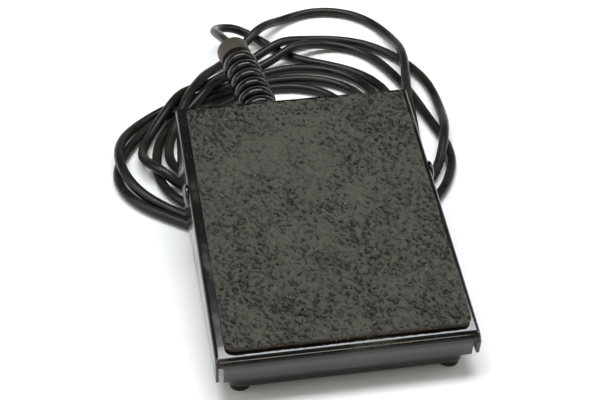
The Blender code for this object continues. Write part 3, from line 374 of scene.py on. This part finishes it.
# cord: millimetres across and behind the front edge, and the layer that it lies on
cordLook = {"radius": 0.0023, "lift": 0.0001, "layer": 0.0050, "step": 0.0023, "roundness": 5}
cordRoute = (
    (-16.9, 218.7, 4.33), (-18.1, 226.1, 4.22), (-19.7, 233.7, 3.92), (-21.2, 241.2, 3.47),
    (-22, 248.6, 2.93), (-21, 255.9, 2.33), (-17.2, 262, 1.71), (-10.7, 265.2, 1.16), (-3.5, 263.8, 0.58),
    (2.6, 259.1, 0.2), (7.5, 253, 0.03), (12.4, 246.6, 0), (18, 240.9, 0), (24.4, 236.2, 0),
    (31.3, 232.3, 0), (38.2, 228.2, 0), (44.7, 223.5, 0), (50.3, 217.8, 0), (54.7, 211.2, 0),
    (57.8, 203.8, 0), (59.4, 196, 0), (59.6, 188, 0), (58.1, 176.2, 0), (54.5, 164.8, 0), (48.9, 154.2, 0),
    (41.2, 145, 0), (31.5, 138.1, 0), (20.4, 133.8, 0), (8.6, 131.6, 0), (-3.3, 130.9, 0), (-15.2, 131, 0),
    (-27.2, 131.7, 0), (-38.9, 133.6, 0), (-50, 137.9, 0), (-58.8, 144.7, 0.93), (-65.5, 154.5, 0.8),
    (-67.1, 166, 0.3), (-63.6, 177.3, 0.24), (-57.6, 187.5, 0.64), (-51.2, 197.4, 1.06),
    (-44.7, 207.6, 1.04), (-37, 216.3, 0.5), (-27.7, 223.6, 0.04), (-17.9, 230.6, 0.02),
    (-7.9, 237.2, 0.25), (2.3, 243.3, 0.65), (12.9, 248.9, 1), (24, 252.9, 0.57), (35.7, 254.6, 0.17),
    (47.5, 252.7, 0.01), (57.9, 247, 0), (66.3, 238.5, 0), (73, 228.6, 0), (78, 217.7, 0), (81, 206.1, 0),
    (82, 194.2, 0), (81.6, 182.3, 0.15), (80.3, 170.5, 0.55), (78, 159, 0.96), (74.6, 147.6, 0.81),
    (70.1, 136.8, 0.33), (64.1, 126.6, 0.04), (56.6, 117.4, 0), (47.6, 109.6, 0), (37.3, 103.5, 0),
    (26.1, 99.3, 0), (14.5, 96.7, 0), (2.6, 95.4, 0), (-9.3, 95.5, 0), (-21, 97.6, 0), (-32, 102.1, 0),
    (-42, 108.6, 0), (-51.3, 116, 0), (-60.4, 123.9, 0.07), (-68.6, 132.4, 0.31), (-74.8, 142.4, 0.67),
    (-78, 153.8, 0.93), (-78.1, 165.8, 0.91), (-75.1, 177.2, 0.58), (-69.4, 187.5, 0.2),
    (-61.4, 196.4, 0.02), (-51.8, 203.5, 0), (-41.1, 209.1, 0), (-30.2, 214, 0), (-19.1, 218.7, 0),
    (-8.2, 223.7, 0), (2.9, 228.1, 0), (14.7, 230.2, 0), (26.5, 228.5, 0), (37.2, 223.2, 0), (45.8, 215, 0),
    (51, 204.2, 0), (52.5, 192.4, 0), (51, 180.5, 0), (47.1, 169.2, 0), (40.7, 159, 0), (32.2, 150.6, 0),
    (21.8, 144.7, 0), (10.3, 141.1, 0), (-1.5, 139.3, 0), (-13.5, 138.6, 0), (-25.5, 138.9, 0),
    (-37.3, 141, 0), (-47.6, 146.9, 0), (-53.8, 156.9, 0), (-54.3, 168.8, 0.09), (-51.1, 180.2, 0.43),
    (-46.6, 191, 1), (-41.6, 201.7, 1.43), (-36.1, 212.4, 1.44), (-30.4, 222.9, 1.1), (-24.1, 232.7, 0.51),
    (-16.6, 241.8, 0.24), (-8.2, 250.2, 0.59), (0.2, 258.3, 1.29), (7.8, 267.5, 1.01), (15.7, 276.1, 0.33),
    (25.6, 282.5, 0.03), (37.2, 285.1, 0), (48.9, 283, 0), (58.9, 276.6, 0), (66.1, 267.1, 0),
    (70.5, 256, 0.1), (72.6, 244.4, 0.46), (73, 232.6, 0.92), (72, 220.7, 1.11), (70.1, 208.9, 1.07),
    (68.3, 197.2, 0.81), (67.1, 185.4, 0.37), (66, 173.6, 0.08), (64.4, 161.7, 0), (61.8, 150, 0),
    (57.7, 138.8, 0), (51.9, 128.3, 0), (44.1, 119.3, 0), (34.4, 112.2, 0), (23.4, 107.5, 0),
    (11.7, 105, 0), (-0.2, 104.3, 0), (-12.2, 105.3, 0), (-23.9, 108, 0), (-35, 112.6, 0),
    (-44.9, 119.3, 0), (-53.1, 128, 0), (-58.9, 138.5, 0), (-61.4, 150.2, 0), (-60.8, 162.1, 0),
    (-58.5, 173.9, 0), (-53.7, 184.8, 0), (-46.2, 194, 0.14), (-37.7, 202, 0.73), (-29.9, 210.9, 1.09),
    (-22.2, 219.8, 0.85), (-12.9, 226.9, 0.35), (-2.3, 232.2, 0.22), (8.2, 237.4, 0.63),
    (18.5, 243.2, 1.04), (29.3, 247.8, 0.56), (40.9, 248.2, 0.14), (51.4, 242.8, 0), (58.8, 233.5, 0),
    (63.7, 222.6, 0), (67.4, 211.2, 0), (70.3, 199.6, 0), (72.4, 187.9, 0), (74.2, 176.1, 0),
    (76.2, 164.3, 0), (77.6, 152.4, 0), (76.9, 140.5, 0), (73.5, 129.1, 0), (67.9, 118.5, 0),
    (60.4, 109.2, 0), (51.3, 101.5, 0), (40.8, 95.6, 0), (29.6, 91.6, 0), (17.8, 89.4, 0), (5.8, 88.6, 0),
    (-6.1, 89.2, 0), (-17.9, 91.3, 0), (-29.2, 95.2, 0), (-39.7, 101, 0), (-49.4, 108.1, 0),
    (-58.6, 115.7, 0), (-67.5, 123.7, 0), (-74.9, 133, 0), (-79.3, 144.1, 0), (-79.4, 155.9, 0),
    (-75.7, 167.2, 0), (-70, 177.7, 0), (-63, 187.4, 0), (-54.4, 195.7, 0), (-44.4, 202.2, 0),
    (-33.7, 207.3, 0), (-22.6, 212, 0), (-11.5, 216.3, 0), (0.1, 219.4, 0), (12, 220.3, 0),
    (23.8, 218.4, 0), (34.5, 213.2, 0), (42.6, 204.5, 0), (46.5, 193.3, 0), (46, 181.4, 0), (42, 170.1, 0),
    (35.3, 160.3, 0), (26.1, 152.7, 0), (15.3, 147.6, 0), (3.6, 144.8, 0), (-8.4, 144, 0),
    (-20.3, 145.1, 0), (-31.6, 149.1, 0), (-40.7, 156.7, 0), (-45.5, 167.6, 0), (-44.8, 179.4, 0),
    (-39.6, 190.1, 0), (-31.4, 198.8, 0), (-21.6, 205.7, 0), (-10.7, 210.7, 0), (0.9, 213.5, 0),
    (12.9, 213, 0), (23.8, 208.3, 0), (31.9, 199.5, 0), (35.6, 188.2, 0), (34.4, 176.4, 0.09),
    (28.5, 166.2, 0.42), (10.4, 160, 0.9),
)


def makeCord(look):
    low = look["radius"] + look["lift"]
    knots = [(x * 0.001, frontY + back * 0.001, low + layer * look["layer"]) for x, back, layer in cordRoute]
    points = [(x, y, max(z, low)) for x, y, z in smoothLine(knots, look["step"])]
    curve = bpy.data.curves.new("cord", "CURVE")
    curve.dimensions = "3D"
    curve.bevel_depth = look["radius"]
    curve.bevel_resolution = look["roundness"]
    curve.use_fill_caps = True
    spline = curve.splines.new("POLY")
    spline.points.add(len(points) - 1)
    for point, place in zip(spline.points, points):
        point.co = (*place, 1)
    spline.use_smooth = True
    curve.materials.append(finishes["cord_vinyl"])
    cord = bpy.data.objects.new("cord", curve)
    bpy.context.scene.collection.objects.link(cord)
    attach(cord, "base")
    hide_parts(*[f"cord_turn_{i}" for i in range(1, 7)])
    length = sum((Vector(a) - Vector(b)).length for a, b in zip(points, points[1:]))
    print("cord length", round(length, 3))
    return cord, points, length


cord, cordPoints, cordLength = makeCord(cordLook)


# mat: a slab whose top is moulded into pebbles and slits, with worn patches
matShape = {
    "left": -0.0482, "right": 0.0496, "front": 0.0052, "rear": 0.1374, "high": 0.0031,
    "frontCorner": 0.0036, "rearCorner": 0.0012, "roundOver": 0.0007, "step": 0.00036,
    "bump": 0.0015, "depth": 0.0013, "lowest": 0.00165, "slant": radians(-50), "stretch": 1.9,
    "warp": 0.0007, "warpScale": 380, "swell": 2.4, "fineSwell": 1.3, "slitWidth": 0.19, "slitShare": 0.80,
    "wallLevels": (0.0016, 0.00135, 0.0011), "wallInset": 0.0001, "wallRoughness": 0.00010,
    "wornSpots": ((-0.016, 0.110, 0.017, 0.55), (-0.034, 0.094, 0.010, 0.35), (0.012, 0.119, 0.012, 0.3),
                  (0.004, 0.085, 0.016, 0.2)),
}


def pebbles(x, back, shape):
    # how high the skin stands at a place, -1 to 1, and how deep in a slit or hollow it is, 0 to 1, which also sets
    # the painted shade that darkens slits and hollows and leaves crowns lighter
    warp, scale = shape["warp"], shape["warpScale"]
    u = x + warp * noise.noise((x * scale, back * scale, 3.1))
    v = back + warp * noise.noise((x * scale, back * scale, 9.7))
    along = (u * cos(shape["slant"]) + v * sin(shape["slant"])) / shape["stretch"]
    across = -u * sin(shape["slant"]) + v * cos(shape["slant"])
    size = shape["bump"]
    swell = shape["swell"] * noise.noise((along / size, across / size, 0.3))
    swell += shape["fineSwell"] * noise.noise((u / size * 2.1, v / size * 2.1, 7.7))
    line = abs(noise.noise((along / size * 0.9 + 11, across / size * 1.45, 5.2)))
    breaks = 2.6 * noise.noise((along / size * 1.3, across / size * 0.9, 8.8))
    slit = max(0.0, 1 - line / shape["slitWidth"])
    slit *= min(1.0, max(0.0, shape["slitShare"] + breaks))
    worn = sum(share * exp(-((x - spotX) ** 2 + (back - spotBack) ** 2) / reach ** 2)
               for spotX, spotBack, reach, share in shape["wornSpots"])
    corner = min(1.0, max(0.0, (back - 0.095) / 0.04)) * min(1.0, abs(x) / 0.045)
    force = (1 - min(0.7, worn)) * (0.88 + 0.45 * corner + 0.5 * noise.noise((x * 90, back * 90, 1.5)))
    height = (0.7 * swell - 1.2 * slit) * force
    # the second value is also painted shade: high in slits and low hollows, low on crowns
    dentAndShade = max(0.0, min(1.0, 0.08 + (1.15 * slit - 0.30 * swell) * force))
    return max(-1.0, min(1.0, height)), dentAndShade


def makeMat(shape):
    across = round((shape["right"] - shape["left"]) / shape["step"])
    along = round((shape["rear"] - shape["front"]) / shape["step"])
    bm = bmesh.new()
    dentsAndShade = []
    rows = []
    for j in range(along + 1):
        t = j / along
        back = shape["front"] + t * (shape["rear"] - shape["front"])
        pulled = 0.0
        for corner, edge in ((shape["frontCorner"], back - shape["front"]),
                             (shape["rearCorner"], shape["rear"] - back)):
            if edge < corner:
                pulled = corner - sqrt(max(0.0, corner ** 2 - (corner - edge) ** 2))
        low, high = shape["left"] + pulled, shape["right"] - pulled
        row = []
        for i in range(across + 1):
            x = low + (high - low) * i / across
            edge = min(x - low, high - x, back - shape["front"], shape["rear"] - back)
            edge = min(edge, shape["roundOver"])
            over = shape["roundOver"]
            drop = over - sqrt(max(0.0, over ** 2 - (over - edge) ** 2))
            swell, dentAndShade = pebbles(x, back, shape)
            height = shape["high"] - shape["depth"] * (0.42 - 0.5 * swell + 0.18 * dentAndShade) - drop
            row.append(bm.verts.new((x, back - pedal["pivotBack"],
                                     pedal["pivotDepth"] + max(shape["lowest"], min(height, shape["high"])))))
            dentsAndShade.append(dentAndShade)
        rows.append(row)
    for lower, upper in zip(rows, rows[1:]):
        for i in range(across):
            bm.faces.new((lower[i], lower[i + 1], upper[i + 1], upper[i]))
    rim = ([rows[0][i] for i in range(across)] + [row[-1] for row in rows[:-1]]
           + [rows[-1][i] for i in range(across, 0, -1)] + [rows[j][0] for j in range(along, 0, -1)])
    above = rim
    for level in shape["wallLevels"]:
        ring = []
        for vert in rim:
            rough = shape["wallRoughness"] * noise.noise((vert.co.x * 900, vert.co.y * 900, level * 3000))
            inset = shape["wallInset"] + rough
            side = Vector((vert.co.x - 0.0007, vert.co.y, 0))
            side = Vector((side.x / 0.05, side.y / 0.07, 0)).normalized()
            ring.append(bm.verts.new((vert.co.x - side.x * inset, vert.co.y - side.y * inset,
                                      pedal["pivotDepth"] + level)))
            dentsAndShade.append(1.0)
        count = len(rim)
        for n in range(count):
            after = (n + 1) % count
            bm.faces.new((above[n], ring[n], ring[after], above[after])).material_index = 1
        above = ring
    bm.faces.new(list(reversed(above))).material_index = 1
    mat = addPiece("pebbled_mat", bm, "mat_rubber", treadleFrame, 60)
    mat.data.materials.append(makeEdge("matCutEdge", edgeLook, 0.47))
    # the dent value is kept on the points as painted shade for the rubber's colour, and it also raises roughness
    attribute = mat.data.attributes.new("dentAndShade", "FLOAT", "POINT")
    attribute.data.foreach_set("value", dentsAndShade)
    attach(mat, "treadle")
    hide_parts("tread_mat")
    print("mat moulded:", len(dentsAndShade), "points")


makeMat(matShape)


# tread plate: one sheet with a front flange and two side flanges, open at its corners
plateShape = {"frontBend": 0.0042, "sideBend": 0.0019, "clearance": 0.0088, "frontInset": 0.0031,
              "sideStart": 0.0004, "rimRadius": 0.00022, "bendSteps": 14, "sideSteps": 9}


def makePlate(shape):
    half, top = pedal["plateWidth"] / 2, pedal["pivotDepth"]
    front, rear = -pedal["pivotBack"], pedal["plateLength"] - pedal["pivotBack"]
    radius, bend = shape["frontBend"], half - shape["sideBend"]
    slope = pedal["plateTilt"]

    def level(y):
        return ((shape["clearance"] - pivot.z) - y * sin(slope)) / cos(slope)

    rows = [(rear + (front + radius - rear) * i / 24, top, True) for i in range(25)]
    for i in range(1, shape["bendSteps"] + 1):
        angle = pi / 2 * i / shape["bendSteps"]
        y, z = front + radius - radius * sin(angle), top - radius + radius * cos(angle)
        rows.append((y, z, y > front + shape["sideStart"]))
    foot = level(front)
    rows += [(front, top - radius + (foot - top + radius) * i / 5, False) for i in range(1, 6)]
    bm = bmesh.new()
    middle, sides = [], {-1: [], 1: []}
    for y, z, joined in rows:
        reach = bend if joined else half - shape["frontInset"]
        middle.append([bm.verts.new((-reach + 2 * reach * i / 10, y, z)) for i in range(11)])
        if not joined:
            continue
        for side in (-1, 1):
            strip = [middle[-1][0 if side < 0 else 10]]
            for i in range(1, shape["sideSteps"] + 1):
                angle = pi / 2 * i / shape["sideSteps"]
                strip.append(bm.verts.new((side * (bend + shape["sideBend"] * sin(angle)), y,
                                           z - shape["sideBend"] * (1 - cos(angle)))))
            start = z - shape["sideBend"]
            strip += [bm.verts.new((side * half, y, start + (level(y) - start) * i / 6)) for i in range(1, 7)]
            sides[side].append(strip)
    for grid in (middle, sides[-1], sides[1]):
        for one, two in zip(grid, grid[1:]):
            for i in range(len(one) - 1):
                bm.faces.new((one[i], one[i + 1], two[i + 1], two[i]))
    bmesh.ops.recalc_face_normals(bm, faces=bm.faces)
    bm.faces.ensure_lookup_table()
    if bm.faces[0].normal.z < 0:
        bmesh.ops.reverse_faces(bm, faces=bm.faces)
    return thickened("tread_plate", bm, treadleFrame, "treadle", "foot_plate", shape["rimRadius"])


def thickened(name, bm, place, body, node, rim):
    # a sheet-metal piece from its outer skin: thickness inwards, and a small radius on the cut edges
    mesh = bpy.data.meshes.new(name)
    bm.to_mesh(mesh)
    bm.free()
    mesh.polygons.foreach_set("use_smooth", [True] * len(mesh.polygons))
    piece = bpy.data.objects.new(name, mesh)
    bpy.context.scene.collection.objects.link(piece)
    solid = piece.modifiers.new("thickness", "SOLIDIFY")
    solid.thickness = pedal["sheet"]
    solid.offset = -1
    solid.use_even_offset = True
    edge = piece.modifiers.new("rim", "BEVEL")
    edge.width = rim
    edge.segments = 3
    edge.limit_method = "ANGLE"
    edge.angle_limit = radians(50)
    edge.harden_normals = True
    bpy.context.view_layer.update()
    done = bpy.data.meshes.new_from_object(piece.evaluated_get(bpy.context.evaluated_depsgraph_get()))
    piece.modifiers.clear()
    piece.data = done
    done.transform(place)
    done.materials.clear()
    done.materials.append(finishes["black_paint"])
    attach(piece, body)
    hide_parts(node)
    return piece


makePlate(plateShape)
print("plate folded")

# pan under the plate
panShape = {"walls": (0.0154, 0.0279, 0.0298), "corner": 0.0040, "lowerBend": 0.0016, "rimRadius": 0.0002}


def makePan(shape):
    half, rear = pedal["panHalf"], pedal["panLength"]
    frontWall, pinWall, rearHigh = shape["walls"]
    pinAt = (pivot.y - frontY - pedal["panSetback"]) / cos(pedal["panTilt"])
    outline = [(0, 0), (rear, 0), (rear + rearHigh * tan(pedal["panTilt"]), rearHigh), (pinAt, pinWall),
               (0, frontWall)]
    bm = bmesh.new()
    ends = [[bm.verts.new((x, y, z)) for y, z in outline] for x in (-half, half)]
    bm.faces.new(ends[0])
    bm.faces.new(list(reversed(ends[1])))
    for i in range(5):
        j = (i + 1) % 5
        bm.faces.new((ends[0][i], ends[0][j], ends[1][j], ends[1][i]))
    bmesh.ops.recalc_face_normals(bm, faces=bm.faces)
    upright = [e for e in bm.edges if abs(e.verts[0].co.x - e.verts[1].co.x) < 1e-6
               and abs(e.verts[0].co.z - e.verts[1].co.z) > 0.01]
    bmesh.ops.bevel(bm, geom=upright, offset=shape["corner"], segments=10, profile=0.5, affect="EDGES",
                    offset_type="OFFSET")
    lower = [e for e in bm.edges if max(v.co.z for v in e.verts) < 1e-6]
    bmesh.ops.bevel(bm, geom=lower, offset=shape["lowerBend"], segments=6, profile=0.5, affect="EDGES")
    lids = [f for f in bm.faces if f.normal.z > 0.5]
    bmesh.ops.delete(bm, geom=lids, context="FACES")
    return thickened("steel_pan", bm, panFrame, "base", "base_pan", shape["rimRadius"])


makePan(panShape)
print("pan pressed")

# strain relief: ribbed sleeve and collar, both leaning left along a bend
reliefShape = {
    "x": -0.0107, "height": 0.0240, "lean": radians(8.3), "length": 0.0840, "start": 0.0238, "end": 0.0745,
    "wide": 0.0094, "taper": 0.0009, "rings": 6, "pitch": 0.0083, "first": 0.0267, "groove": 0.0030,
    "collar": 0.0079,
}


def reliefFrame(along, shape):
    drift = shape["lean"] * along * along / (2 * shape["length"])
    return (Matrix.Translation((shape["x"] - drift, rearWall + along, shape["height"]))
            @ Matrix.Rotation(shape["lean"] * along / shape["length"], 4, "Z")
            @ Matrix.Rotation(-pi / 2, 4, "X"))


def alongRelief(bm, shape):
    for vert in bm.verts:
        vert.co = reliefFrame(vert.co.z, shape) @ Vector((vert.co.x, vert.co.y, 0))
    return bm


def makeRelief(shape):
    start, end = shape["start"], shape["end"]
    profile = [(0, start), (shape["wide"] - shape["groove"] - 0.0004, start)]
    for i in range(shape["rings"]):
        z = shape["first"] + i * shape["pitch"]
        big = shape["wide"] - shape["taper"] * (z - start) / (end - start)
        small = big - shape["groove"]
        for step in range(13):
            angle = pi * step / 12
            profile.append((small + shape["groove"] * sin(angle) ** 0.62, z - 0.0030 * cos(angle)))
    profile += [(0.0058, end - 0.0005), (0.0058, end), (0, end)]
    sleeve = addPiece("ribbed_sleeve", alongRelief(turned(profile, 56), shape), "rubber", None, 50)
    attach(sleeve, "base")
    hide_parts("strain_relief")
    low, high, wide = end + pedal["gap"], shape["length"], shape["collar"]
    profile = [(0, low), (wide - 0.0002, low), (wide, high), (wide - 0.0020, high + 0.0001), (0.0030, high),
               (0.0027, high - 0.0006), (0, high - 0.0006)]
    band = alongRelief(turned(softened(profile, 0.0006), 56), shape)
    collar = addPiece("end_collar", band, "collar_rubber", None, 50)
    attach(collar, "base")
    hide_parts("cord_collar")
    return sleeve, collar


sleeve, collar = makeRelief(reliefShape)
print("strain relief moulded")

# cross pin with its domed heads
pinShape = {"radius": 0.0016, "head": 0.0048, "rise": 0.0018}


def makePin(shape):
    seat = pedal["plateWidth"] / 2 + pedal["gap"]
    brim = 0.0003
    head = [(shape["head"], seat), (shape["head"], seat + brim)]
    for i in range(1, 9):
        angle = pi / 2 * i / 9
        head.append((shape["head"] * cos(angle), seat + brim + (shape["rise"] - brim) * sin(angle)))
    head.append((0, seat + shape["rise"]))
    profile = [(r, -z) for r, z in reversed(head)]
    profile += [(shape["radius"], -seat), (shape["radius"], seat)] + head
    place = Matrix.Translation(pivot) @ Matrix.Rotation(pi / 2, 4, "Y")
    pin = addPiece("cross_pin", turned(profile, 40), "black_paint", place, 40)
    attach(pin, "treadle")
    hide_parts("pivot_pin")


makePin(pinShape)

# floor and studio light
studio = {
    "floorColour": (0.88, 0.88, 0.87), "floorSize": 6.0, "wall": 0.50, "ceiling": 0.06,
    "lamps": {
        "overhead": {"place": (-0.02, 0.24, 1.25), "size": (1.5, 0.50), "watts": 22.0,
                     "colour": (0.93, 0.97, 1.0)},
        "behindCamera": {"place": (-0.10, -1.05, 1.10), "size": (1.2, 0.16), "watts": 3.2,
                         "colour": (1.0, 0.93, 0.80)},
        "left": {"place": (-1.2, 0.05, 0.75), "size": (0.7, 0.9), "watts": 5.0, "colour": (1.0, 0.99, 0.97)},
        "right": {"place": (1.25, -0.15, 0.9), "size": (0.7, 0.9), "watts": 6.0, "colour": (1.0, 0.99, 0.97)},
    },
}


def makeStudio(look):
    size = look["floorSize"] / 2
    bm = bmesh.new()
    corners = ((-1, -1), (1, -1), (1, 1), (-1, 1))
    bm.faces.new([bm.verts.new((x * size, y * size, -0.0002)) for x, y in corners])
    mesh = bpy.data.meshes.new("floor")
    bm.to_mesh(mesh)
    bm.free()
    floor = bpy.data.objects.new("floor", mesh)
    bpy.context.scene.collection.objects.link(floor)
    paper, here = newMaterial("floorPaper")
    shade = here.clouds(0.4, 2)
    pale = look["floorColour"]
    feed(paper, Base_Color=shade.blend(pale, tuple(c * 0.985 for c in pale)), Roughness=0.85,
         Specular_IOR_Level=0.2)
    mesh.materials.append(paper)
    for name, lamp in look["lamps"].items():
        light = bpy.data.lights.new(name, "AREA")
        light.shape = "RECTANGLE"
        light.size, light.size_y = lamp["size"]
        light.energy = lamp["watts"]
        light.color = lamp["colour"]
        holder = bpy.data.objects.new(name, light)
        bpy.context.scene.collection.objects.link(holder)
        holder.location = lamp["place"]
        aim = Vector((0, 0.02, 0)) - Vector(lamp["place"])
        holder.rotation_euler = aim.to_track_quat("-Z", "Y").to_euler()
    world = bpy.data.worlds.new("studio")
    bpy.context.scene.world = world
    world.use_nodes = True
    start = Socket(world.node_tree).node("ShaderNodeTexCoord", {}, {}, "Generated")
    rise = start.node("ShaderNodeSeparateXYZ", {}, {0: start}, "Z").between(0.10, 0.55)
    wall, ceiling = look["wall"], look["ceiling"]
    shade = rise.blend((wall, wall, wall), (ceiling, ceiling, ceiling))
    backdrop = world.node_tree.nodes["Background"]
    world.node_tree.links.new(shade.source, backdrop.inputs["Color"])


makeStudio(studio)
bpy.context.scene.view_settings.view_transform = "Standard"
print("studio lit")
